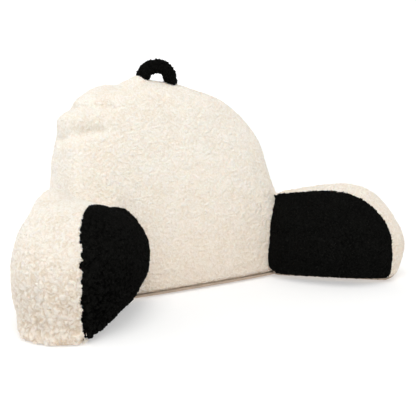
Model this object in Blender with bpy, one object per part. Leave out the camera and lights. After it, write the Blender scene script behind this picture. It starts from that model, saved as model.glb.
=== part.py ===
"""Reading pillow with arms: a stuffed wedge backrest under a round-topped
outline, two stuffed arms splayed from its front corners, a dark panel sewn on
each arm's inner side, a dark padded carry loop on the top ridge and a plain
base panel that turns up a little at the floor.

Metres, +Z up.  The sitter faces -Y, +X is to the right of someone who looks
at the front, and the origin is at the middle of the footprint, on the floor.
"""
import math
from collections import namedtuple
from functools import partial

import bmesh
import bpy
from mathutils import Vector

# ---------------------------------------------------------------- sizes
GAP = 0.00032           # clear space between neighbouring pieces
FOOT_GAP = 0.0008       # and between a body and the base panel that hugs its foot
PANEL_GAP = 0.0010      # and across an arm, behind its panel: square to the slopes it is about GAP
LEAST_SLOPE = 0.42      # near the floor it grows, but to no more than this share's inverse
BASE_SHEET = 0.0025     # thickness of the base panel
EDGE_RADIUS = 0.024     # rounding of every stuffed body at the floor
EDGE_CENTRE = BASE_SHEET + FOOT_GAP + EDGE_RADIUS  # height where that rounding ends

# Backrest: stacked sections.  Each is a squared oval, and they close in a dome.
RIDGE_HEIGHT = 0.430
SHOULDER_TILT = -0.36   # the left shoulder is stuffed higher than the right
MIDDLE_SHIFT = 0.003    # and the body sits this far to the right of the arms
CAP_TURN = 66.0         # degrees, where the sides give way to the dome's cap

Section = namedtuple("Section", "turn half_width front back square")
# turn: 0 at the floor and 90 at the ridge; its sine is the share of the height
# square: exponent of the squared oval; 2 is an ellipse
BACKREST_SECTIONS = (
    Section(0, 0.300, -0.008, 0.281, 4.0),
    Section(11, 0.290, 0.016, 0.286, 4.6),
    Section(22, 0.262, 0.051, 0.290, 4.4),
    Section(33, 0.251, 0.089, 0.293, 3.7),
    Section(44, 0.246, 0.122, 0.292, 3.1),
    Section(55, 0.215, 0.142, 0.287, 2.8),
    Section(66, 0.165, 0.159, 0.276, 2.6),
    Section(78, 0.089, 0.184, 0.252, 2.5),
    Section(90, 0.000, 0.218, 0.218, 2.5),
)

# Arms.  Along an arm u runs from its root to its front, across it runs from
# the outer side to the inner side, and w is the height.
CORNER_SPACING = 0.342  # between the two inner seams where they meet the base
ARM_ROOT = -0.100       # the arm starts this far behind that meeting point
INNER_POWER = 3.2       # how late the inner side falls off toward its upper seams
CROWN_POWER = 2.2       # and the outer side, and both sides toward the floor
Arm = namedtuple("Arm", "name side splay length height gusset taper inner_crown inner_peak outer_crown "
                        "outer_peak crown_start top_crown corner_crown front_crown foot_crown corner_u "
                        "corner_w lean root_lean bow rise inner_drop outer_drop")
# splay: degrees that the arm turns outward; taper: share of the width lost at the top
# crowns: how far the sides, the top, its front corner, the front and its foot swell out
# peaks: share of the height where the sides swell most; crown_start: u where they begin to
# corner_u, corner_w: half axes of the round front top corner
# lean, root_lean: how the inner side leans outward with height, and more so at the root
# bow: how far the arm bends inward; rise: how much its top climbs to the front
# drops: how much its top falls at the root, along the inner and the outer side
ARMS = (
    Arm("left", side=-1, splay=43.5, length=0.264, height=0.236, gusset=0.132, taper=0.12,
        inner_crown=0.074, inner_peak=0.66, outer_crown=0.054, outer_peak=0.34, crown_start=-0.060,
        top_crown=0.004, corner_crown=0.004, front_crown=0.016, foot_crown=0.016, corner_u=0.112,
        corner_w=0.140, lean=-0.01, root_lean=0.12, bow=0.006, rise=0.10, inner_drop=0.14,
        outer_drop=0.09),
    Arm("right", side=1, splay=50.0, length=0.264, height=0.198, gusset=0.114, taper=0.20,
        inner_crown=0.088, inner_peak=0.50, outer_crown=0.050, outer_peak=0.42, crown_start=-0.030,
        top_crown=0.012, corner_crown=0.007, front_crown=0.011, foot_crown=0.000, corner_u=0.150,
        corner_w=0.136, lean=0.04, root_lean=0.39, bow=0.004, rise=0.10, inner_drop=0.10,
        outer_drop=0.10),
)
PANEL_EDGE = 0.003      # thickness of the sherpa panel at its seam
PANEL_MIDDLE = 0.009    # and in its middle, pile included

# Carry loop: a padded tube bent to a half ring, its feet sewn into the ridge.
LOOP_TUBE = 0.0152      # radius of the tube
LOOP_RING = 0.0322      # radius of the bend, to the tube's middle
LOOP_CENTRE = Vector((-0.004, 0.213, 0.431))
LOOP_TWIST = -12.0      # degrees about the vertical
LOOP_LEAN = 14.0        # degrees toward the right
LOOP_FOOT = 0.022       # buried length of each foot before it is cut off

# Mesh fineness: spans across the width, across the depth, and up the height
# above the rounded edge, whose rows of vertices stand at these turns.
BACKREST_SPANS = (18, 10, 8)
ARM_SPANS = (14, 6, 6)
EDGE_TURNS = (90.0, 65.0, 40.0, 0.0)
PANEL_ROWS = 3          # the base panels reach up to the third of these rows

CREAM = (0.86, 0.79, 0.70, 1.0)
BLACK = (0.012, 0.012, 0.013, 1.0)
BEIGE = (0.62, 0.52, 0.43, 1.0)


# ---------------------------------------------------------------- helpers
def clamp(value, low=0.0, high=1.0):
    return max(low, min(high, value))


def ease(value):
    value = clamp(value)
    return value * value * (3 - 2 * value)


def make_material(name, colour, roughness):
    material = bpy.data.materials.new(name)
    material.use_nodes = True
    shader = material.node_tree.nodes["Principled BSDF"]
    shader.inputs["Base Color"].default_value = colour
    shader.inputs["Roughness"].default_value = roughness
    shader.inputs["Metallic"].default_value = 0.0
    return material


def add_object(name, bm, collection, material=None):
    """Make an object of the bmesh, smooth shaded, and free the bmesh."""
    bmesh.ops.recalc_face_normals(bm, faces=bm.faces)
    mesh = bpy.data.meshes.new(name)
    bm.to_mesh(mesh)
    bm.free()
    mesh.shade_smooth()
    if material:
        mesh.materials.append(material)
    obj = bpy.data.objects.new(name, mesh)
    collection.objects.link(obj)
    return obj


def boolean(obj, operation, other):
    """Cut obj with other, or join other to it, and hide other as a guide."""
    modifier = obj.modifiers.new(other.name, "BOOLEAN")
    modifier.operation = operation
    modifier.solver = "EXACT"
    modifier.object = other
    other.hide_render = True
    other.display_type = "WIRE"


def shaped_block(spans, place, split="SHORT_EDGE"):
    """A closed block of spans[0] x spans[1] x spans[2] cells whose vertices
    are put where place(a, b, level) says: a and b run from -1 to 1, and level
    counts the rows of vertices from the floor.  Two fitted pieces split their
    cells along like diagonals, so that their facing sides keep their gap."""
    bm = bmesh.new()
    bmesh.ops.create_cube(bm, size=2.0)
    for axis, count in enumerate(spans):
        along = [e for e in bm.edges
                 if abs(e.verts[0].co[axis] - e.verts[1].co[axis]) > 1e-6]
        if count > 1:
            bmesh.ops.subdivide_edges(bm, edges=along, cuts=count - 1, use_grid_fill=True)
    for vert in bm.verts:
        level = round((vert.co.z + 1) / 2 * spans[2])
        vert.co = place(vert.co.x, vert.co.y, level)
    bmesh.ops.triangulate(bm, faces=bm.faces, quad_method=split)
    return bm


def edge_rows(radius):
    """Height and inset of the rows that round a body's edge at the floor."""
    rows = []
    for turn in EDGE_TURNS:
        angle = math.radians(turn)
        rows.append((EDGE_CENTRE - radius * math.sin(angle), EDGE_RADIUS - radius * math.cos(angle)))
    return rows


# ---------------------------------------------------------------- backrest
def section_at(turn):
    """Half width, front, back and squareness of the backrest, by a cubic
    through the table.  Past the ridge the table is mirrored, so that the dome
    closes smoothly."""
    rows = BACKREST_SECTIONS
    top = len(rows) - 1
    index = 0
    while index < top - 1 and turn > rows[index + 1].turn:
        index += 1
    share = (turn - rows[index].turn) / (rows[index + 1].turn - rows[index].turn)

    def row(number):
        if number < 0:
            return [2 * p - q for p, q in zip(rows[0][1:], rows[1][1:])]
        if number > top:
            width, front, back, square = rows[2 * top - number][1:]
            return [-width, back, front, square]
        return rows[number][1:]

    before, start, end, after = (row(index + step) for step in (-1, 0, 1, 2))
    blended = []
    for p, q, r, s in zip(before, start, end, after):
        blended.append(0.5 * (2 * q + (r - p) * share + (2 * p - 5 * q + 4 * r - s) * share ** 2
                              + (3 * q - p - 3 * r + s) * share ** 3))
    return blended


def oval(a, b, square):
    """The point of a squared oval of half width and half depth 1 that lies in
    the direction of (a, b)."""
    if a == 0 and b == 0:
        return 0.0, 0.0
    angle = math.atan2(b, a)
    cosine, sine = math.cos(angle), math.sin(angle)
    radius = (abs(cosine) ** square + abs(sine) ** square) ** (-1 / square)
    return radius * cosine, radius * sine


def backrest_point(a, b, reach, turn, height, inset, grow):
    """A point of the section at this turn, in the direction of (a, b) and at
    this share of the way out to its edge."""
    half_width, front, back, square = section_at(turn)
    half_width = max(half_width + grow - inset, 0.0)
    half_depth = max((back - front) / 2 + grow - inset, 0.0)
    x_share, y_share = oval(a, b, square)
    x = half_width * x_share * reach
    y = (front + back) / 2 + half_depth * y_share * reach
    height *= 1 + SHOULDER_TILT * x * ease(3 * (height - EDGE_CENTRE) / RIDGE_HEIGHT)
    return Vector((x + MIDDLE_SHIFT, y, height))


def turn_at(height):
    return math.degrees(math.asin(clamp(height / RIDGE_HEIGHT)))


def backrest_form(grow=0.0):
    """The whole backrest.  A grown one, for cutting, has a plain lower edge
    that reaches below the floor."""
    rows = []
    for height, inset in edge_rows(EDGE_RADIUS):
        if grow > 0:
            height, inset = 2 * height - EDGE_CENTRE, 0.0
        rows.append((turn_at(height), height, inset))
    start = rows[-1][0]
    for step in range(1, BACKREST_SPANS[2] + 1):
        turn = start + (CAP_TURN - start) * step / BACKREST_SPANS[2]
        rows.append((turn, (RIDGE_HEIGHT + grow) * math.sin(math.radians(turn)), 0.0))
    last = len(rows) - 1

    def place(a, b, level):
        turn, height, inset = rows[level]
        reach = max(abs(a), abs(b))
        if level == last:
            turn = 90.0 - (90.0 - CAP_TURN) * reach
            height = (RIDGE_HEIGHT + grow) * math.sin(math.radians(turn))
            reach = 1.0
        return backrest_point(a, b, reach, turn, height, inset, grow)

    return shaped_block((BACKREST_SPANS[0], BACKREST_SPANS[1], last), place, "FIXED")


def backrest_foot(radius):
    """The lowest slice of the backrest, its rounded edge at this radius."""
    rows = edge_rows(radius)[:PANEL_ROWS]

    def place(a, b, level):
        height, inset = rows[level]
        return backrest_point(a, b, max(abs(a), abs(b)), turn_at(height), height, inset, 0.0)

    return shaped_block((BACKREST_SPANS[0], BACKREST_SPANS[1], PANEL_ROWS - 1), place)


# ---------------------------------------------------------------- arms
def arm_outline(arm, a, height):
    """Along-arm place and height of a point of the side outline, whose front
    top corner is rounded, and the outline's outward direction there."""
    u = ARM_ROOT + (arm.length - ARM_ROOT) * (a + 1) / 2
    p = clamp((u - (arm.length - arm.corner_u)) / arm.corner_u)
    t = clamp((height - (arm.height - arm.corner_w)) / arm.corner_w)
    if p > 0 and t > 0:
        p, t = p * math.sqrt(1 - t * t / 2), t * math.sqrt(1 - p * p / 2)
        u = arm.length - arm.corner_u + arm.corner_u * p
        height = arm.height - arm.corner_w + arm.corner_w * t
    return u, height, p, t


def crown_share(arm, u, height, peak, upper_power):
    """How much of its crown a side has at this place: 1 where it swells most
    and 0 along its seams."""
    share = height / arm.height
    rise = (share - peak) / (1 - peak if share > peak else peak)
    travel = clamp(2 * (u - arm.crown_start) / (arm.length - arm.crown_start) - 1, -1.0, 1.0)
    power = upper_power if share > peak else CROWN_POWER
    return (1 - abs(rise) ** power) * (1 - abs(travel) ** INNER_POWER)


def arm_point(arm, a, height, across, inset):
    """World place of a point of the arm.  across(outer, inner, crown) says
    where it lies between the two sides, and its share of the swell of the top
    and the front."""
    u, w, p, t = arm_outline(arm, a, height)
    flat_u = ARM_ROOT + (arm.length - ARM_ROOT) * (a + 1) / 2
    crown = crown_share(arm, flat_u, height, arm.inner_peak, INNER_POWER)
    half = arm.gusset / 2 * (1 - arm.taper * w / arm.height)
    inner = half + arm.inner_crown * crown - inset
    inner -= arm.root_lean * w * clamp(1 - u / arm.length) ** 2
    outer = inset - half - arm.outer_crown * crown_share(arm, flat_u, height, arm.outer_peak, CROWN_POWER)
    cross, swell = across(outer, inner, crown)
    on_front = a > 1 - 1e-6
    on_top = height > arm.height - 1e-6
    if on_front or on_top:
        reach = math.hypot(p, t) or 1.0
        crest = (arm.top_crown + arm.corner_crown * 2 * p * t / reach ** 2) * swell
        u += crest * p / reach
        w += crest * t / reach
    if on_front:
        swell *= 1 - clamp(2 * height / arm.height - 1) ** 2
        u += swell * (arm.foot_crown + (arm.front_crown - arm.foot_crown) * ease(3 * height / arm.height))
    u -= inset * a ** 3
    travel = u / arm.length
    inward_share = (cross - outer) / (inner - outer)
    root_drop = arm.outer_drop + (arm.inner_drop - arm.outer_drop) * inward_share
    climb = arm.rise * (travel - 0.5) - root_drop * clamp(1 - travel) ** 2
    w *= 1 + climb * ease(3 * (w - EDGE_CENTRE) / arm.height)
    cross -= arm.gusset / 2 + arm.lean * w + arm.bow * 4 * travel * (1 - travel)
    splay = math.radians(arm.splay)
    along = Vector((arm.side * math.sin(splay), -math.cos(splay), 0.0))
    inward = Vector((-arm.side * math.cos(splay), -math.sin(splay), 0.0))
    corner = Vector((arm.side * CORNER_SPACING / 2, 0.0, 0.0))
    return corner + along * u + inward * cross + Vector((0.0, 0.0, w))


def arm_rows(arm):
    """Height and inset of the arm's rows of vertices."""
    rows = edge_rows(EDGE_RADIUS)
    for step in range(1, ARM_SPANS[2] + 1):
        rows.append((EDGE_CENTRE + (arm.height - EDGE_CENTRE) * step / ARM_SPANS[2], 0.0))
    return rows


def panel_thickness(crown):
    return PANEL_EDGE + (PANEL_MIDDLE - PANEL_EDGE) * crown


def panel_gap(inset):
    """Space behind the panel, wider where the edge at the floor rounds under."""
    return PANEL_GAP / max(LEAST_SLOPE, 1 - inset / EDGE_RADIUS)


def arm_block(arm, rows, across_spans, across):
    def place(a, b, level):
        height, inset = rows[level]
        return arm_point(arm, a, height, lambda outer, inner, crown: across(b, outer, inner, crown, inset),
                         inset)

    return shaped_block((ARM_SPANS[0], across_spans, len(rows) - 1), place)


def arm_body(arm):
    """The stuffed arm, its inner side set back by the panel's thickness."""
    def across(b, outer, inner, crown, inset):
        inner -= panel_thickness(crown) + panel_gap(inset)
        return outer + (inner - outer) * (b + 1) / 2, 1 - b * b

    return arm_block(arm, arm_rows(arm), ARM_SPANS[1], across)


def arm_panel(arm):
    """The sherpa panel that lies on the arm's inner side."""
    def across(b, outer, inner, crown, inset):
        return inner - panel_thickness(crown) * (1 - b) / 2, 0.0

    return arm_block(arm, arm_rows(arm), 1, across)


def arm_foot(arm, radius):
    """The lowest slice of the arm, its rounded edge at this radius."""
    def across(b, outer, inner, crown, inset):
        return outer + (inner - outer) * (b + 1) / 2, 1 - b * b

    return arm_block(arm, edge_rows(radius)[:PANEL_ROWS], ARM_SPANS[1], across)


# ---------------------------------------------------------------- base panels
def base_panels(parts, guides, cutter, material):
    """The plain sheet under each body, turned up at its edge: a shallow slab
    of the body's own foot with its inside taken out."""
    feet = [("back", backrest_foot)]
    for arm in ARMS:
        feet.append((arm.name, partial(arm_foot, arm)))
    for name, foot in feet:
        outside = foot(EDGE_RADIUS + FOOT_GAP + BASE_SHEET)
        inside = foot(EDGE_RADIUS + FOOT_GAP)
        panel = add_object(f"base_panel_{name}", outside, parts, material)
        boolean(panel, "DIFFERENCE", add_object(f"foot_{name}", inside, guides))
        if name != "back":
            boolean(panel, "DIFFERENCE", cutter)


# ---------------------------------------------------------------- carry loop
def carry_loop(collection, cutter, material):
    """A padded tube: two straight feet and a half ring, cut off at the ridge."""
    curve = bpy.data.curves.new("carry_loop_path", "CURVE")
    curve.dimensions = "3D"
    curve.bevel_depth = LOOP_TUBE
    curve.bevel_resolution = 3
    curve.use_fill_caps = True
    steps = 14
    points = [Vector((LOOP_RING, 0.0, -LOOP_FOOT))]
    for step in range(steps + 1):
        angle = math.pi * step / steps
        points.append(Vector((LOOP_RING * math.cos(angle), 0.0, LOOP_RING * math.sin(angle))))
    points.append(Vector((-LOOP_RING, 0.0, -LOOP_FOOT)))
    spline = curve.splines.new("POLY")
    spline.points.add(len(points) - 1)
    for point, place in zip(spline.points, points):
        point.co = (*place, 1.0)
    path = bpy.data.objects.new("carry_loop_path", curve)
    path.location = LOOP_CENTRE
    path.rotation_euler = (0.0, math.radians(LOOP_LEAN), math.radians(LOOP_TWIST))
    collection.objects.link(path)
    bpy.context.view_layer.update()
    evaluated = path.evaluated_get(bpy.context.evaluated_depsgraph_get())
    mesh = bpy.data.meshes.new_from_object(evaluated)
    bm = bmesh.new()
    bm.from_mesh(mesh)
    bmesh.ops.remove_doubles(bm, verts=bm.verts, dist=0.00001)
    bm.transform(path.matrix_world)
    bpy.data.objects.remove(path)
    bpy.data.meshes.remove(mesh)
    loop = add_object("carry_loop", bm, collection, material)
    boolean(loop, "DIFFERENCE", cutter)


# ---------------------------------------------------------------- assembly
def centre_on_footprint(collection, guides):
    """Shift every mesh so that the origin is in the middle of the box, on the
    floor."""
    bpy.context.view_layer.update()
    depsgraph = bpy.context.evaluated_depsgraph_get()
    corners = []
    for obj in collection.objects:
        corners += [Vector(corner) for corner in obj.evaluated_get(depsgraph).bound_box]
    for axis in range(2):
        values = [corner[axis] for corner in corners]
        middle = (min(values) + max(values)) / 2
        for obj in (*collection.objects, *guides.objects):
            for vert in obj.data.vertices:
                vert.co[axis] -= middle


def main():
    for obj in list(bpy.data.objects):
        bpy.data.objects.remove(obj)
    parts = bpy.data.collections.new("reading_pillow")
    guides = bpy.data.collections.new("guides")
    bpy.context.scene.collection.children.link(parts)
    bpy.context.scene.collection.children.link(guides)

    cream = make_material("cream_sherpa", CREAM, 0.95)
    black = make_material("black_sherpa", BLACK, 0.9)
    beige = make_material("base_cloth", BEIGE, 0.85)

    add_object("backrest", backrest_form(), parts, cream)
    cutter = add_object("backrest_grown", backrest_form(GAP), guides)
    for arm in ARMS:
        body = add_object(f"arm_{arm.name}", arm_body(arm), parts, cream)
        boolean(body, "DIFFERENCE", cutter)
        panel = add_object(f"arm_panel_{arm.name}", arm_panel(arm), parts, black)
        boolean(panel, "DIFFERENCE", cutter)
    base_panels(parts, guides, cutter, beige)
    carry_loop(parts, cutter, black)
    centre_on_footprint(parts, guides)


if __name__ == "__main__":
    main()
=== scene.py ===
"""Looks of the reading pillow with arms: curly sherpa over the stuffed backrest
and arms, dark sherpa on the arms' inner sides and on the carry loop, plain
woven cloth underneath, and a pale stage around it.

Metres, +Z up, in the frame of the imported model.
"""
import math
from collections import namedtuple

import bmesh
import bpy
import numpy as np
from bpy.props import FloatProperty, FloatVectorProperty, PointerProperty
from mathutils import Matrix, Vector
from mathutils.bvhtree import BVHTree
from mathutils.kdtree import KDTree


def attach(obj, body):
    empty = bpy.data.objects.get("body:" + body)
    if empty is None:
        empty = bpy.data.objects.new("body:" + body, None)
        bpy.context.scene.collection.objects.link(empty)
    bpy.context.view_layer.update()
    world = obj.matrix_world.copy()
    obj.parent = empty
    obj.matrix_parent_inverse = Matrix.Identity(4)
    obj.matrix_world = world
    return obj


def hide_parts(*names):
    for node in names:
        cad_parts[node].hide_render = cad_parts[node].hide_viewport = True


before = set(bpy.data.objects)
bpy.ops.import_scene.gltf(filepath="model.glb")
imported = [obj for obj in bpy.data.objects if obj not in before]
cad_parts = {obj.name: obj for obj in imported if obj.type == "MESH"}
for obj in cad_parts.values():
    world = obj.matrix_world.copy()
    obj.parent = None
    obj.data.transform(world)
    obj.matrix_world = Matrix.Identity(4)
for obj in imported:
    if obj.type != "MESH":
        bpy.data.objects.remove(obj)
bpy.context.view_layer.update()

bl_info = {
    "name": "Reading pillow",
    "version": (1, 0, 0),
    "blender": (4, 5, 0),
    "location": "View3D > Sidebar > Pillow",
    "description": "Sherpa covers, panels, carry loop and stage of a reading pillow with arms",
    "category": "Mesh",
}

BODY = "root"
MERGE = 0.00001         # the model's loose triangles meet within this distance
BACKDROP_START = 4.5    # this far from the pillow the floor curves up into a wall all round
BACKDROP_RADIUS = 2.0
BACKDROP_TOP = 5.0
BACKDROP_TURNS = 12     # steps of that curve
STRAND = 0.0050         # spacing of the fine lines between strands, sunk in the bump and painted darker as shade
PATCH = 0.040           # width of the patches where the pile lies lighter or darker
CLUMP = 0.016           # and of the clumps where it is combed out, painted lighter and darker as their light and shade
LUMP = 0.055            # and of the lumps in the stuffing
THREAD = 0.0024         # width of a wave of the base cloth's weave
FLAT_FOOT = 0.012       # below this height a body is pressed flat and held still
CONTACT = 0.008         # no swelling this close to the piece that a cover is sewn to
TUCK_REACH = 0.004      # a cover's end this close to that piece is tucked into it
TUCK_DEPTH = 0.010
RAGGED = 0.009          # how far the curls reach over a seam between two cloths
SUNK = 0.0055           # depth of the cream cover behind a dark panel
BACKING = 0.004         # thickness of a dark panel's ground
SWELL_FRAMES = 20       # frames of cloth simulation
LEAST_HEIGHT = 0.0008   # the pile stays this far above the floor

# Stuffed bodies: mesh size before the last subdivision, how far the cover's
# ground lies inside the model (the pile fills that), and how far it may swell.
Body = namedtuple("Body", "voxel inset swell smoothing")
BACKREST_BODY = Body(0.0062, 0.0002, 0.004, 12)
ARM_BODY = Body(0.0050, 0.0015, 0.003, 10)
LOOP_BODY = Body(0.0026, -0.0006, 0.0, 3)

# A pile's relief in the bump, roughness, specular level, sheen, glow under the
# surface, and the painted shade that makes it darker and warmer near the floor.
Look = namedtuple("Look", "relief rough shine sheen glow low_tint")
CREAM_LOOK = Look(0.0014, 0.95, 0.10, 0.10, 0.30, (0.935, 0.88, 0.835))
BLACK_LOOK = Look(0.0030, 0.80, 0.01, 0.0, 0.0, (1.0, 1.0, 1.0))

# The seam between gusset and back panel lies where the surface's normal has
# this much of its length along +Y.
BackSeam = namedtuple("BackSeam", "facing spread depth")
BACK_SEAM = BackSeam(0.62, 0.09, 0.003)

# Soft folds and swellings of the stuffing, along a path on the surface.  A
# positive depth is a trough, a negative one a swelling.
Fold = namedtuple("Fold", "name depth width path")
BACKREST_FOLDS = (
    Fold("upper shoulder crease", 0.009, 0.010,
         ((-0.207, 0.190, 0.383), (-0.205, 0.160, 0.383), (-0.182, 0.124, 0.388), (-0.135, 0.105, 0.383))),
    Fold("lower shoulder crease", 0.012, 0.011,
         ((-0.245, 0.190, 0.318), (-0.243, 0.147, 0.320), (-0.214, 0.104, 0.332), (-0.174, 0.092, 0.338))),
    Fold("lower crease's end", 0.003, 0.012, ((-0.174, 0.092, 0.338), (-0.110, 0.080, 0.330))),
    Fold("swelling between the creases", -0.008, 0.016, ((-0.232, 0.180, 0.352), (-0.205, 0.120, 0.360))),
    Fold("swelling of the left side", -0.009, 0.030, ((-0.250, 0.175, 0.255), (-0.252, 0.165, 0.205))),
    Fold("fullness of the right ridge", -0.006, 0.035,
         ((0.262, 0.105, 0.200), (0.238, 0.115, 0.280), (0.212, 0.125, 0.325), (0.150, 0.135, 0.380))),
    Fold("dip of the ridge", 0.008, 0.020, ((-0.100, 0.150, 0.430), (-0.092, 0.215, 0.436))),
    Fold("swelling at the loop's left foot", -0.010, 0.014, ((-0.052, 0.140, 0.430), (-0.052, 0.165, 0.435))),
    Fold("swelling at the loop's right foot", -0.005, 0.014, ((0.036, 0.180, 0.432), (0.036, 0.205, 0.432))),
    Fold("swelling beside the right arm", -0.006, 0.030, ((0.210, 0.015, 0.060), (0.205, 0.018, 0.170))),
)
LEFT_ARM_FOLDS = (
    Fold("front seam", 0.004, 0.004,
         ((-0.429, -0.192, 0.020), (-0.427, -0.195, 0.121), (-0.414, -0.165, 0.194))),
    Fold("fullness of the outer side", -0.007, 0.035, ((-0.433, -0.125, 0.190), (-0.440, -0.125, 0.140))),
    Fold("fullness of the panel's root", -0.007, 0.020, ((-0.150, -0.010, 0.168), (-0.146, -0.020, 0.150))),
    Fold("gusset drawn up to the backrest", -0.019, 0.034,
         ((-0.352, -0.060, 0.232), (-0.330, -0.010, 0.225))),
    Fold("gusset at the root", -0.030, 0.040, ((-0.322, 0.005, 0.222), (-0.285, 0.060, 0.212))),
)
RIGHT_ARM_FOLDS = (
    Fold("fullness of the outer end", -0.006, 0.028, ((0.430, -0.180, 0.070), (0.426, -0.185, 0.045))),
    Fold("shoulder of the outer end", 0.005, 0.022, ((0.412, -0.165, 0.150), (0.418, -0.175, 0.135))),
)


# ---------------------------------------------------------------- properties
class PillowPile(bpy.types.PropertyGroup):
    """The sherpa's pile."""
    curl: FloatProperty(name="Curl", description="Width of one curl", default=0.0052, unit="LENGTH")
    big_curl: FloatProperty(name="Big curl", description="Width of a curl where the pile is combed out",
                            default=0.0078, unit="LENGTH")
    height: FloatProperty(name="Height", description="Height of the curls over the ground",
                          default=0.0034, unit="LENGTH")
    lump: FloatProperty(name="Lumps", description="Unevenness of the stuffing", default=0.0022, unit="LENGTH")


class PillowColours(bpy.types.PropertyGroup):
    """Colours of the cloths, linear."""
    cream: FloatVectorProperty(name="Cream", description="Tips of the cream pile", subtype="COLOR",
                               default=(0.970, 0.922, 0.852))
    # Painted shade: the cream between the curls is darker and warmer, as the shade in the pile's gaps.
    cream_gap_shade: FloatVectorProperty(name="Cream, deep", description="Between the cream curls",
                                    subtype="COLOR", default=(0.80, 0.69, 0.55))
    black: FloatVectorProperty(name="Black", description="Tips of the black pile", subtype="COLOR",
                               default=(0.0080, 0.0080, 0.0073))
    # Painted shade: the black between the curls is darker still, as the shade in the pile's gaps.
    black_gap_shade: FloatVectorProperty(name="Black, deep", description="Between the black curls",
                                    subtype="COLOR", default=(0.0004, 0.0004, 0.0004))
    base: FloatVectorProperty(name="Base cloth", description="Plain woven base", subtype="COLOR",
                              default=(0.80, 0.63, 0.49))


class PillowStage(bpy.types.PropertyGroup):
    """Camera, light and floor."""
    azimuth: FloatProperty(name="Azimuth", description="Side that the camera looks from",
                           default=math.radians(-29.97), subtype="ANGLE")
    elevation: FloatProperty(name="Elevation", description="Camera's angle above the horizon",
                             default=math.radians(12.2), subtype="ANGLE")
    lens: FloatProperty(name="Lens", description="Focal length in millimetres", default=79.4)
    overhead: FloatProperty(name="Overhead", description="Power of the large light above", default=43.0,
                            unit="POWER")
    key: FloatProperty(name="Key", description="Power of the front light", default=17.0, unit="POWER")
    side: FloatProperty(name="Side", description="Power of the cool light on the left", default=4.0,
                        unit="POWER")
    sky: FloatProperty(name="Sky", description="Brightness of the room", default=0.34)


# ---------------------------------------------------------------- node trees
class Wire:
    """An output socket.  Arithmetic with numbers and other wires adds Math
    nodes to its tree."""

    def __init__(self, tree, socket):
        self.tree = tree
        self.socket = socket

    def math(self, operation, *values):
        return node(self.tree, "ShaderNodeMath", {"operation": operation}, dict(enumerate(values)))

    def __add__(self, other):
        return self.math("ADD", self, other)

    __radd__ = __add__

    def __sub__(self, other):
        return self.math("SUBTRACT", self, other)

    def __rsub__(self, other):
        return self.math("SUBTRACT", other, self)

    def __mul__(self, other):
        return self.math("MULTIPLY", self, other)

    __rmul__ = __mul__

    def size(self):
        return self.math("ABSOLUTE", self)

    def between(self, low, high):
        """0 below low, 1 above high, and smooth between them."""
        inputs = {"Value": self, "From Min": low, "From Max": high}
        return node(self.tree, "ShaderNodeMapRange", {"interpolation_type": "SMOOTHSTEP"}, inputs)

    def vector(self, operation, other):
        return node(self.tree, "ShaderNodeVectorMath", {"operation": operation}, {0: self, 1: other})

    def scaled(self, factor):
        return node(self.tree, "ShaderNodeVectorMath", {"operation": "SCALE"}, {0: self, "Scale": factor})


def node(tree, kind, settings=None, inputs=None, output=0):
    """Add a node of this type to a tree, with its settings first and then the
    values or links of its sockets, and return one of its outputs."""
    made = tree.nodes.new(kind)
    for name, value in (settings or {}).items():
        setattr(made, name, value)
    for name, value in (inputs or {}).items():
        if isinstance(value, Wire):
            tree.links.new(value.socket, made.inputs[name])
        else:
            made.inputs[name].default_value = value
    return Wire(tree, made.outputs[output] if made.outputs else None)


def blend_colours(tree, share, first, second):
    """A colour between two, which are wires or RGB triples."""
    first, second = (c if isinstance(c, Wire) else (*c, 1.0) for c in (first, second))
    return node(tree, "ShaderNodeMix", {"data_type": "RGBA"}, {0: share, 6: first, 7: second}, 2)


def noise_at(tree, place, width, detail=2.0, output="Fac"):
    """Soft noise with features of this width, in metres."""
    inputs = {"Vector": place, "Scale": 1.0 / width, "Detail": detail}
    return node(tree, "ShaderNodeTexNoise", {}, inputs, output)


def curl_height(tree, place, curl):
    """How high the pile stands at a place, from 0 between the curls to 1 on
    their tips: round tufts of this width, twisted together, with finer curls."""
    swirl = noise_at(tree, place, curl * 1.3, 1.0, "Color")
    bent = place.vector("ADD", swirl.vector("SUBTRACT", (0.5, 0.5, 0.5)).scaled(curl * 1.8))
    inputs = {"Vector": bent, "Scale": 1.0 / curl}
    cells = node(tree, "ShaderNodeTexVoronoi", {}, inputs, "Distance")
    tuft = 1.0 - cells.between(0.05, 0.80)
    fine = noise_at(tree, bent, curl * 0.5, 2.0).between(0.25, 0.75)
    return tuft * 0.62 + fine * 0.38


def pile_height(tree, place, pile, coarse):
    """The pile of the whole cover: fine curls, and big ones where coarse is 1."""
    fine = curl_height(tree, place, pile.curl)
    big = curl_height(tree, place, pile.big_curl)
    return fine + (big - fine) * coarse


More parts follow.
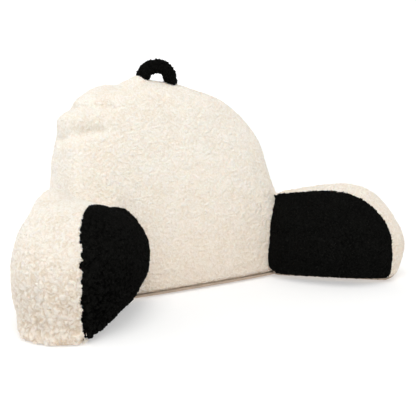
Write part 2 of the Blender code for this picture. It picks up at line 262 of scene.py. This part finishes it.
def sherpa(name, tip, deep, pile, look):
    """Curly pile: its height comes from the same pattern as the mesh's curls,
    read at each point's place before the pile was raised."""
    material = bpy.data.materials.new(name)
    material.use_nodes = True
    tree = material.node_tree
    shader = tree.nodes["Principled BSDF"]
    place = node(tree, "ShaderNodeAttribute", {"attribute_name": "ground"}, output="Vector")
    coarse = node(tree, "ShaderNodeAttribute", {"attribute_name": "coarse"}, output="Fac")
    curls = pile_height(tree, place, pile, coarse)
    strands = noise_at(tree, place, STRAND, 1.0) - 0.5
    strands = strands.size().between(0.0, 0.07)
    patches = noise_at(tree, place, PATCH, 2.0)
    level = node(tree, "ShaderNodeSeparateXYZ", {}, {0: place}, "Z").between(-0.05, 0.30)
    clump_shade = noise_at(tree, place, CLUMP, 1.0)
    # Painted shade: the colour darkens from the curls' tips into the gaps between them and along the lines
    # between strands. It darkens more steeply where the pile is combed out, and there the clumps also get
    # painted light and shade. The patches vary the tone at random.
    depth = 0.66 + (curls - 0.42) * (0.60 + coarse * 0.75) + (strands - 0.75) * 0.16
    depth = depth + (patches - 0.5) * 0.4 + (clump_shade - 0.5) * coarse * 0.8
    colour = blend_colours(tree, depth.between(0.0, 1.0), deep, tip)
    # Painted shade: the pile is darker and warmer towards the floor.
    low_shade = blend_colours(tree, level, look.low_tint, (1.0, 1.0, 1.0))
    colour = colour.vector("MULTIPLY", low_shade)
    tree.links.new(colour.socket, shader.inputs["Base Color"])
    relief = (curls + strands * 0.3) * (1.0 + coarse) * look.relief
    bump = node(tree, "ShaderNodeBump", {}, {"Height": relief, "Distance": 1.0, "Strength": 1.0})
    tree.links.new(bump.socket, shader.inputs["Normal"])
    shader.inputs["Roughness"].default_value = look.rough
    shader.inputs["Specular IOR Level"].default_value = look.shine
    shader.inputs["Sheen Weight"].default_value = look.sheen
    shader.inputs["Sheen Roughness"].default_value = 0.5
    shader.inputs["Subsurface Weight"].default_value = look.glow
    shader.inputs["Subsurface Radius"].default_value = (1.0, 0.75, 0.55)
    shader.inputs["Subsurface Scale"].default_value = 0.005
    return material


def woven(name, colour):
    """Plain weave of a smooth base cloth."""
    material = bpy.data.materials.new(name)
    material.use_nodes = True
    tree = material.node_tree
    shader = tree.nodes["Principled BSDF"]
    place = node(tree, "ShaderNodeTexCoord", output="Object")
    threads = []
    for direction in ("X", "Y"):
        settings = {"wave_type": "BANDS", "bands_direction": direction}
        inputs = {"Vector": place, "Scale": 1.0 / THREAD, "Distortion": 0.6}
        threads.append(node(tree, "ShaderNodeTexWave", settings, inputs, "Fac"))
    weave = threads[0] * threads[1]
    wear = noise_at(tree, place, 0.03, 3.0)
    dark = tuple(channel * 0.62 for channel in colour)
    tone = blend_colours(tree, (weave * 0.5 + wear * 0.7).between(0.1, 0.8), dark, tuple(colour))
    tree.links.new(tone.socket, shader.inputs["Base Color"])
    bump = node(tree, "ShaderNodeBump", {}, {"Height": weave, "Distance": 0.0005, "Strength": 1.0})
    tree.links.new(bump.socket, shader.inputs["Normal"])
    shader.inputs["Roughness"].default_value = 0.85
    return material


def shared_material(name, make):
    """The material of this name, made the first time it is asked for."""
    return bpy.data.materials.get(name) or make()


def cream_sherpa(scene):
    colours, pile = scene.pillow_colours, scene.pillow_pile
    return shared_material(
        "cream_pile", lambda: sherpa("cream_pile", colours.cream, colours.cream_gap_shade, pile, CREAM_LOOK))


def black_sherpa(scene):
    colours, pile = scene.pillow_colours, scene.pillow_pile
    return shared_material(
        "black_pile", lambda: sherpa("black_pile", colours.black, colours.black_gap_shade, pile, BLACK_LOOK))


# ---------------------------------------------------------------- mesh helpers
def read_points(mesh, what="co"):
    values = np.empty(len(mesh.vertices) * 3, np.float32)
    mesh.vertices.foreach_get(what, values)
    return values.reshape(-1, 3).astype(float)


def write_points(mesh, points):
    mesh.vertices.foreach_set("co", points.astype(np.float32).ravel())
    mesh.update()


def read_attribute(mesh, name):
    values = np.empty(len(mesh.vertices), np.float32)
    mesh.attributes[name].data.foreach_get("value", values)
    return values.astype(float)


def write_attribute(mesh, name, values):
    attribute = mesh.attributes.get(name) or mesh.attributes.new(name, "FLOAT", "POINT")
    attribute.data.foreach_set("value", values.astype(np.float32))


def smooth_step(values, low, high):
    share = np.clip((values - low) / (high - low), 0.0, 1.0)
    return share * share * (3 - 2 * share)


def merged_copy(*names):
    """A bmesh of these nodes of the model, their loose triangles joined."""
    bm = bmesh.new()
    for name in names:
        bm.from_mesh(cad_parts[name].data)
    bmesh.ops.remove_doubles(bm, verts=bm.verts, dist=MERGE)
    return bm


def distances(points, name):
    """How far each point is from this node's solid."""
    bm = merged_copy(name)
    tree = BVHTree.FromBMesh(bm)
    bm.free()
    return np.array([tree.find_nearest(point)[3] for point in points.tolist()])


def new_object(name, mesh):
    obj = bpy.data.objects.new(name, mesh)
    bpy.context.scene.collection.objects.link(obj)
    return obj


def settle(obj):
    """Make what obj's modifiers show its mesh, and drop the modifiers."""
    graph = bpy.context.evaluated_depsgraph_get()
    mesh = bpy.data.meshes.new_from_object(obj.evaluated_get(graph))
    old = obj.data
    obj.modifiers.clear()
    obj.data = mesh
    bpy.data.meshes.remove(old)


def largest_shell(bm):
    """Delete all but the largest connected part."""
    bm.verts.ensure_lookup_table()
    unseen = set(bm.verts)
    shells = []
    while unseen:
        shell = {unseen.pop()}
        edge = list(shell)
        while edge:
            found = [e.other_vert(v) for v in edge for e in v.link_edges]
            edge = [v for v in set(found) if v in unseen]
            unseen.difference_update(edge)
            shell.update(edge)
        shells.append(shell)
    shells.sort(key=len)
    loose = [v for shell in shells[:-1] for v in shell]
    bmesh.ops.delete(bm, geom=loose, context="VERTS")


def open_pinches(bm):
    """Delete the faces round each vertex where the outline of a cut sheet
    touches itself, so that the sheet stays closed when it gets a thickness."""
    pinched = True
    while pinched:
        pinched = [v for v in bm.verts if sum(edge.is_boundary for edge in v.link_edges) > 2]
        faces = {face for v in pinched for face in v.link_faces}
        bmesh.ops.delete(bm, geom=list(faces), context="FACES")


def remesh(name, bm, body):
    """An object of even quads around the bmesh."""
    mesh = bpy.data.meshes.new(name)
    bm.to_mesh(mesh)
    bm.free()
    obj = new_object(name, mesh)
    modifier = obj.modifiers.new("voxels", "REMESH")
    modifier.mode = "VOXEL"
    modifier.voxel_size = body.voxel
    settle(obj)
    return obj


def relax(obj, times):
    """Smooth the mesh this many times."""
    bm = bmesh.new()
    bm.from_mesh(obj.data)
    for _ in range(times):
        bmesh.ops.smooth_vert(bm, verts=bm.verts, factor=0.5,
                              use_axis_x=True, use_axis_y=True, use_axis_z=True)
    bm.to_mesh(obj.data)
    bm.free()


def inflate(obj, body, held):
    """Swell the cover under pressure, pinned where held is true.  No point sinks in,
    or swells further than the body allows."""
    ground, normals = read_points(obj.data), read_points(obj.data, "normal")
    pins = obj.vertex_groups.new(name="held")
    pins.add(np.flatnonzero(held).tolist(), 1.0, "REPLACE")
    modifier = obj.modifiers.new("cover", "CLOTH")
    settings = modifier.settings
    settings.quality = 4
    settings.vertex_group_mass = "held"
    settings.use_pressure = True
    settings.uniform_pressure_force = 4.0
    settings.effector_weights.gravity = 0.0
    modifier.collision_settings.use_collision = False
    scene = bpy.context.scene
    for step in range(1, SWELL_FRAMES + 1):
        scene.frame_set(step)
    graph = bpy.context.evaluated_depsgraph_get()
    swollen = read_points(obj.evaluated_get(graph).data)
    obj.modifiers.clear()
    obj.vertex_groups.clear()
    scene.frame_set(1)
    outward = np.einsum("ij,ij->i", swollen - ground, normals)
    write_points(obj.data, ground + normals * np.clip(outward, 0.0, body.swell)[:, None])


def fold(points, normals, folds):
    """Press the troughs of the stuffing in, and push its swellings out."""
    shift = np.zeros(len(points))
    for row in folds:
        nearest = np.full(len(points), 1.0)
        for start, end in zip(row.path, row.path[1:]):
            start, end = np.array(start), np.array(end)
            along = end - start
            share = np.clip((points - start) @ along / (along @ along), 0.0, 1.0)
            reach = np.linalg.norm(points - start - share[:, None] * along, axis=1)
            nearest = np.minimum(nearest, reach)
        shift -= row.depth * np.exp(-(nearest / row.width) ** 2)
    return points + normals * shift[:, None]


def mark_seam(obj, outer, inner):
    """Store how far each vertex lies from the line where the outer node's cover
    ends on the inner one's: negative on the outer node, positive off it."""
    points = read_points(obj.data)
    on_outer = distances(points, outer) < distances(points, inner)
    bm = bmesh.new()
    bm.from_mesh(obj.data)
    crossed = [e for e in bm.edges if on_outer[e.verts[0].index] != on_outer[e.verts[1].index]]
    line = KDTree(len(crossed))
    for index, edge in enumerate(crossed):
        line.insert((edge.verts[0].co + edge.verts[1].co) / 2, index)
    bm.free()
    line.balance()
    reach = np.array([line.find(point)[2] for point in points.tolist()])
    write_attribute(obj.data, "seam", np.where(on_outer, -reach, reach))


def tuck_in(points, node_name):
    """Carry the points that touch this node's solid into it, so that the seam
    between the two is buried."""
    bm = merged_copy(node_name)
    tree = BVHTree.FromBMesh(bm)
    bm.free()
    tucked = points.copy()
    for index, point in enumerate(points.tolist()):
        _, normal, _, distance = tree.find_nearest(point)
        if distance < TUCK_REACH:
            tucked[index] -= np.array(normal) * TUCK_DEPTH
    return tucked


def press_back_seam(points, normals):
    """The seam round the back, where the surface has turned to face back."""
    off = (normals[:, 1] - BACK_SEAM.facing) / BACK_SEAM.spread
    depth = BACK_SEAM.depth * np.exp(-off ** 2) * smooth_step(points[:, 2], 0.02, 0.05)
    return points - normals * depth[:, None]


def stuffed(name, nodes, body, sewn_to, folds):
    """The ground of a stuffed cover: the nodes' solid with even quads, inset,
    swollen and folded.  Its end is tucked into the piece that it is sewn to."""
    obj = remesh(name, merged_copy(*nodes), body)
    bm = bmesh.new()
    bm.from_mesh(obj.data)
    largest_shell(bm)
    bm.to_mesh(obj.data)
    bm.free()
    if len(nodes) == 2:
        mark_seam(obj, nodes[1], nodes[0])
    points = read_points(obj.data)
    sewn = np.full(len(points), 1.0)
    if sewn_to:
        sewn = distances(points, sewn_to)
        write_points(obj.data, tuck_in(points, sewn_to))
    relax(obj, body.smoothing)
    points, normals = read_points(obj.data), read_points(obj.data, "normal")
    free = smooth_step(points[:, 2], 0.004, 0.030)
    write_points(obj.data, points - normals * (body.inset * free)[:, None])
    if body.swell:
        held = (points[:, 2] < FLAT_FOOT) | (sewn < CONTACT)
        inflate(obj, body, held)
    points, normals = read_points(obj.data), read_points(obj.data, "normal")
    write_points(obj.data, fold(points, normals, folds))
    modifier = obj.modifiers.new("finer", "SUBSURF")
    modifier.levels = modifier.render_levels = 1
    settle(obj)
    return obj


def lay_pattern(obj, pile):
    """Store each vertex's ground place, and the curls' height and the lumps'
    height there, which the mesh and the material share."""
    tree = bpy.data.node_groups.new("curls", "GeometryNodeTree")
    tree.interface.new_socket("Geometry", in_out="INPUT", socket_type="NodeSocketGeometry")
    tree.interface.new_socket("Geometry", in_out="OUTPUT", socket_type="NodeSocketGeometry")
    shape = node(tree, "NodeGroupInput")
    place = node(tree, "GeometryNodeInputPosition")
    coarse = node(tree, "GeometryNodeInputNamedAttribute", {"data_type": "FLOAT"}, {"Name": "coarse"})
    curls = pile_height(tree, place, pile, coarse)
    lumps = noise_at(tree, place, LUMP, 1.0)
    for name, kind, value in (("ground", "FLOAT_VECTOR", place), ("curls", "FLOAT", curls),
                              ("lumps", "FLOAT", lumps)):
        settings = {"data_type": kind, "domain": "POINT"}
        shape = node(tree, "GeometryNodeStoreNamedAttribute", settings,
                     {"Geometry": shape, "Name": name, "Value": value})
    node(tree, "NodeGroupOutput", {}, {0: shape})
    modifier = obj.modifiers.new("curls", "NODES")
    modifier.node_group = tree
    settle(obj)
    bpy.data.node_groups.remove(tree)


def raise_pile(obj, pile, height, middle=0.45, droop=0.0):
    """Stand the curls up along the surface's normals.  Where the surface turns
    in to the floor, the pile hangs out over the base by droop."""
    points, normals = read_points(obj.data), read_points(obj.data, "normal")
    curls, lumps = read_attribute(obj.data, "curls"), read_attribute(obj.data, "lumps")
    coarse = read_attribute(obj.data, "coarse")
    above = smooth_step(points[:, 2], 0.004, 0.012)
    rise = (curls - middle) * height * (1 + coarse) * (0.2 + 0.8 * above)
    rise += (lumps - 0.5) * 2 * pile.lump * smooth_step(points[:, 2], 0.010, 0.060)
    side = np.hypot(normals[:, 0], normals[:, 1])
    hang = droop * smooth_step(side, 0.10, 0.60) * (1 - smooth_step(points[:, 2], 0.012, 0.036))
    points = points + normals * (rise + hang)[:, None]
    points[:, 2] -= hang * 0.25
    points[:, 2] = np.maximum(points[:, 2], LEAST_HEIGHT)
    write_points(obj.data, points)


def finish_piece(obj, material, slot, *replaced):
    obj.data.materials.clear()
    obj.data.materials.append(material)
    obj.data.shade_smooth()
    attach(obj, BODY)
    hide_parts(*replaced)


# ---------------------------------------------------------------- pieces
def make_backrest(scene):
    pile = scene.pillow_pile
    obj = stuffed("backrest_cover", ("backrest",), BACKREST_BODY, None, BACKREST_FOLDS)
    write_points(obj.data, press_back_seam(read_points(obj.data), read_points(obj.data, "normal")))
    write_attribute(obj.data, "coarse", np.zeros(len(obj.data.vertices)))
    lay_pattern(obj, pile)
    raise_pile(obj, pile, pile.height)
    finish_piece(obj, cream_sherpa(scene), "cream_sherpa", "backrest")


def make_arm(scene, side, folds, combed, over_crest, droop):
    """One arm: the stuffed form with its inner panel on, from which the cream
    cover and the dark panel are both cut, so that they meet along the seam.
    over_crest is how far the panel reaches over the arm's crest, and droop how
    far the pile hangs over the base."""
    pile = scene.pillow_pile
    arm, panel = f"arm_{side}", f"arm_panel_{side}"
    form = stuffed(f"{arm}_cover", (arm, panel), ARM_BODY, "backrest", folds)
    points, normals = read_points(form.data), read_points(form.data, "normal")
    write_attribute(form.data, "coarse", combed(points))
    lay_pattern(form, pile)
    seam = read_attribute(form.data, "seam") + (read_attribute(form.data, "curls") - 0.5) * RAGGED
    seam -= over_crest * smooth_step(points[:, 2], 0.150, 0.195) * smooth_step(normals[:, 2], 0.35, 0.75)
    write_attribute(form.data, "seam", seam)
    dark = form.copy()
    dark.data = form.data.copy()
    dark.name = f"{panel}_cover"
    scene.collection.objects.link(dark)

    under = 1 - smooth_step(seam, -0.0030, 0.0015)
    write_points(form.data, points - normals * (SUNK * under)[:, None])
    raise_pile(form, pile, pile.height, droop=droop)
    finish_piece(form, cream_sherpa(scene), "cream_sherpa", arm)

    bm = bmesh.new()
    bm.from_mesh(dark.data)
    layer = bm.verts.layers.float["seam"]
    outside = [face for face in bm.faces if sum(vert[layer] for vert in face.verts) > 0]
    bmesh.ops.delete(bm, geom=outside, context="FACES")
    open_pinches(bm)
    largest_shell(bm)
    bm.to_mesh(dark.data)
    bm.free()
    raise_pile(dark, pile, pile.height * 1.3, middle=0.35, droop=droop * 0.5)
    solid = dark.modifiers.new("backing", "SOLIDIFY")
    solid.thickness = BACKING
    solid.offset = -1.0
    settle(dark)
    finish_piece(dark, black_sherpa(scene), "black_sherpa", panel)


def flat_size(points):
    """Width and length of the least rectangle round these points, seen from
    above: the arms' panels lie at an angle to the model's axes."""
    sizes = []
    for turn in range(90):
        angle = math.radians(turn)
        along = points[:, 0] * math.cos(angle) + points[:, 1] * math.sin(angle)
        across = points[:, 1] * math.cos(angle) - points[:, 0] * math.sin(angle)
        sizes.append((float(np.ptp(along)), float(np.ptp(across))))
    least = min(sizes, key=math.prod)
    return min(least), max(least)


def make_base_panels(scene):
    """The base cloth: the model's turned-up panels."""
    material = shared_material("plain_weave", lambda: woven("plain_weave", scene.pillow_colours.base))
    for side in ("back", "left", "right"):
        node_name = f"base_panel_{side}"
        bm = merged_copy(node_name)
        mesh = bpy.data.meshes.new(f"{node_name}_cloth")
        bm.to_mesh(mesh)
        area = sum(face.calc_area() for face in bm.faces) / 2
        bm.free()
        obj = new_object(f"{node_name}_cloth", mesh)
        finish_piece(obj, material, "base_cloth", node_name)
        width, length = flat_size(read_points(mesh))


def make_carry_loop(scene):
    pile = scene.pillow_pile
    obj = stuffed("carry_loop_cover", ("carry_loop",), LOOP_BODY, None, ())
    write_attribute(obj.data, "coarse", np.zeros(len(obj.data.vertices)))
    lay_pattern(obj, pile)
    raise_pile(obj, pile, pile.height * 1.6)
    finish_piece(obj, black_sherpa(scene), "black_sherpa", "carry_loop")


# ---------------------------------------------------------------- stage
def area_light(name, place, aim, size, power, colour):
    light = bpy.data.lights.new(name, "AREA")
    light.shape = "DISK"
    light.size = size
    light.energy = power
    light.color = colour
    obj = bpy.data.objects.new(name, light)
    obj.location = place
    obj.rotation_euler = (Vector(place) - Vector(aim)).to_track_quat("Z", "Y").to_euler()
    bpy.context.scene.collection.objects.link(obj)


def make_stage(scene):
    stage = scene.pillow_stage
    back = Vector((math.sin(stage.azimuth) * math.cos(stage.elevation),
                   -math.cos(stage.azimuth) * math.cos(stage.elevation), math.sin(stage.elevation)))
    camera = bpy.data.cameras.new("camera")
    camera.lens = stage.lens
    camera.sensor_width = 36.0
    camera.clip_start, camera.clip_end = 0.05, 50.0
    view = bpy.data.objects.new("camera", camera)
    view.location = (-0.9382, -1.6917, 0.5961)
    view.rotation_euler = back.to_track_quat("Z", "Y").to_euler()
    scene.collection.objects.link(view)
    scene.camera = view

    bm = bmesh.new()
    profile = [(0.0, 0.0), (BACKDROP_START, 0.0)]
    for step in range(1, BACKDROP_TURNS + 1):
        turn = math.pi / 2 * step / BACKDROP_TURNS
        reach = BACKDROP_START + BACKDROP_RADIUS * math.sin(turn)
        profile.append((reach, BACKDROP_RADIUS * (1 - math.cos(turn))))
    profile.append((BACKDROP_START + BACKDROP_RADIUS, BACKDROP_TOP))
    verts = [bm.verts.new((reach, 0.0, height)) for reach, height in profile]
    edges = [bm.edges.new(pair) for pair in zip(verts, verts[1:])]
    bmesh.ops.spin(bm, geom=verts + edges, cent=(0, 0, 0), axis=(0, 0, 1), angle=2 * math.pi, steps=72,
                   use_merge=True, use_duplicate=False)
    bmesh.ops.remove_doubles(bm, verts=bm.verts, dist=MERGE)
    mesh = bpy.data.meshes.new("backdrop")
    bm.to_mesh(mesh)
    bm.free()
    backdrop = new_object("backdrop", mesh)
    mesh.shade_smooth()
    paint = bpy.data.materials.new("backdrop")
    paint.use_nodes = True
    tree = paint.node_tree
    shader = tree.nodes["Principled BSDF"]
    shader.inputs["Base Color"].default_value = (0.70, 0.70, 0.70, 1.0)
    shader.inputs["Roughness"].default_value = 1.0
    shader.inputs["Specular IOR Level"].default_value = 0.0
    place = node(tree, "ShaderNodeTexCoord", output="Object")
    # The backdrop glows most high up behind the pillow, as in a white studio.
    level = node(tree, "ShaderNodeSeparateXYZ", {}, {0: place}, "Z").between(0.0, 2.0)
    behind = node(tree, "ShaderNodeSeparateXYZ", {}, {0: place}, "Y").between(-BACKDROP_START, BACKDROP_START)
    wall = blend_colours(tree, behind, (0.0, 0.0, 0.0), (1.05, 1.05, 1.05))
    floor = blend_colours(tree, behind, (0.20, 0.20, 0.20), (0.55, 0.55, 0.55))
    glow = blend_colours(tree, level, floor, wall)
    tree.links.new(glow.socket, shader.inputs["Emission Color"])
    shader.inputs["Emission Strength"].default_value = 1.0
    mesh.materials.append(paint)

    world = bpy.data.worlds.new("room")
    world.use_nodes = True
    sky = world.node_tree.nodes["Background"]
    sky.inputs["Color"].default_value = (0.96, 0.985, 1.0, 1.0)
    sky.inputs["Strength"].default_value = stage.sky
    scene.world = world
    area_light("overhead", (-0.5, -0.9, 2.7), (0.0, 0.0, 0.1), 2.0, stage.overhead, (1.0, 0.985, 0.96))
    area_light("key", (-0.4, -3.0, 1.4), (0.0, 0.0, 0.2), 1.4, stage.key, (1.0, 0.975, 0.935))
    area_light("side", (-2.4, 0.5, 0.9), (-0.2, 0.0, 0.2), 1.0, stage.side, (0.80, 0.90, 1.0))
    scene.view_settings.view_transform = "Standard"


# ---------------------------------------------------------------- operators
def coarse_nowhere(points):
    return np.zeros(len(points))


def coarse_left(points):
    """The left arm's pile is combed out into bigger curls low on its front."""
    low = 1 - smooth_step(points[:, 2], 0.06, 0.20)
    front = 1 - smooth_step(points[:, 1], -0.16, -0.06)
    return (0.35 + 0.65 * low) * front


class PILLOW_OT_stage(bpy.types.Operator):
    """Set up the floor, the light and the camera"""
    bl_idname = "pillow.stage"
    bl_label = "Stage"

    def execute(self, context):
        make_stage(context.scene)
        return {"FINISHED"}


class PILLOW_OT_backrest(bpy.types.Operator):
    """Cover the backrest with cream sherpa"""
    bl_idname = "pillow.backrest"
    bl_label = "Backrest"

    def execute(self, context):
        make_backrest(context.scene)
        return {"FINISHED"}


class PILLOW_OT_arms(bpy.types.Operator):
    """Cover both arms, with their dark inner panels"""
    bl_idname = "pillow.arms"
    bl_label = "Arms"

    def execute(self, context):
        make_arm(context.scene, "left", LEFT_ARM_FOLDS, coarse_left, 0.008, 0.0085)
        make_arm(context.scene, "right", RIGHT_ARM_FOLDS, coarse_nowhere, 0.0, 0.0045)
        return {"FINISHED"}


class PILLOW_OT_base(bpy.types.Operator):
    """Lay the plain base cloth"""
    bl_idname = "pillow.base"
    bl_label = "Base cloth"

    def execute(self, context):
        make_base_panels(context.scene)
        return {"FINISHED"}


class PILLOW_OT_carry_loop(bpy.types.Operator):
    """Cover the carry loop with dark sherpa"""
    bl_idname = "pillow.carry_loop"
    bl_label = "Carry loop"

    def execute(self, context):
        make_carry_loop(context.scene)
        return {"FINISHED"}


STEPS = (PILLOW_OT_stage, PILLOW_OT_base, PILLOW_OT_backrest, PILLOW_OT_arms, PILLOW_OT_carry_loop)


class PILLOW_PT_pieces(bpy.types.Panel):
    """The pillow's pieces"""
    bl_label = "Reading pillow"
    bl_space_type = "VIEW_3D"
    bl_region_type = "UI"
    bl_category = "Pillow"

    def draw(self, context):
        for step in STEPS:
            self.layout.operator(step.bl_idname)
        for name in GROUPS:
            group = getattr(context.scene, name)
            for key in group.__annotations__:
                self.layout.prop(group, key)


GROUPS = {"pillow_pile": PillowPile, "pillow_colours": PillowColours, "pillow_stage": PillowStage}


def register():
    for kind in (*GROUPS.values(), *STEPS, PILLOW_PT_pieces):
        bpy.utils.register_class(kind)
    for name, kind in GROUPS.items():
        setattr(bpy.types.Scene, name, PointerProperty(type=kind))


def unregister():
    for name in GROUPS:
        delattr(bpy.types.Scene, name)
    for kind in (PILLOW_PT_pieces, *reversed(STEPS), *GROUPS.values()):
        bpy.utils.unregister_class(kind)


def main():
    register()
    bpy.ops.pillow.stage()
    bpy.ops.pillow.base()
    bpy.ops.pillow.backrest()
    bpy.ops.pillow.arms()
    bpy.ops.pillow.carry_loop()


if __name__ == "__main__":
    main()
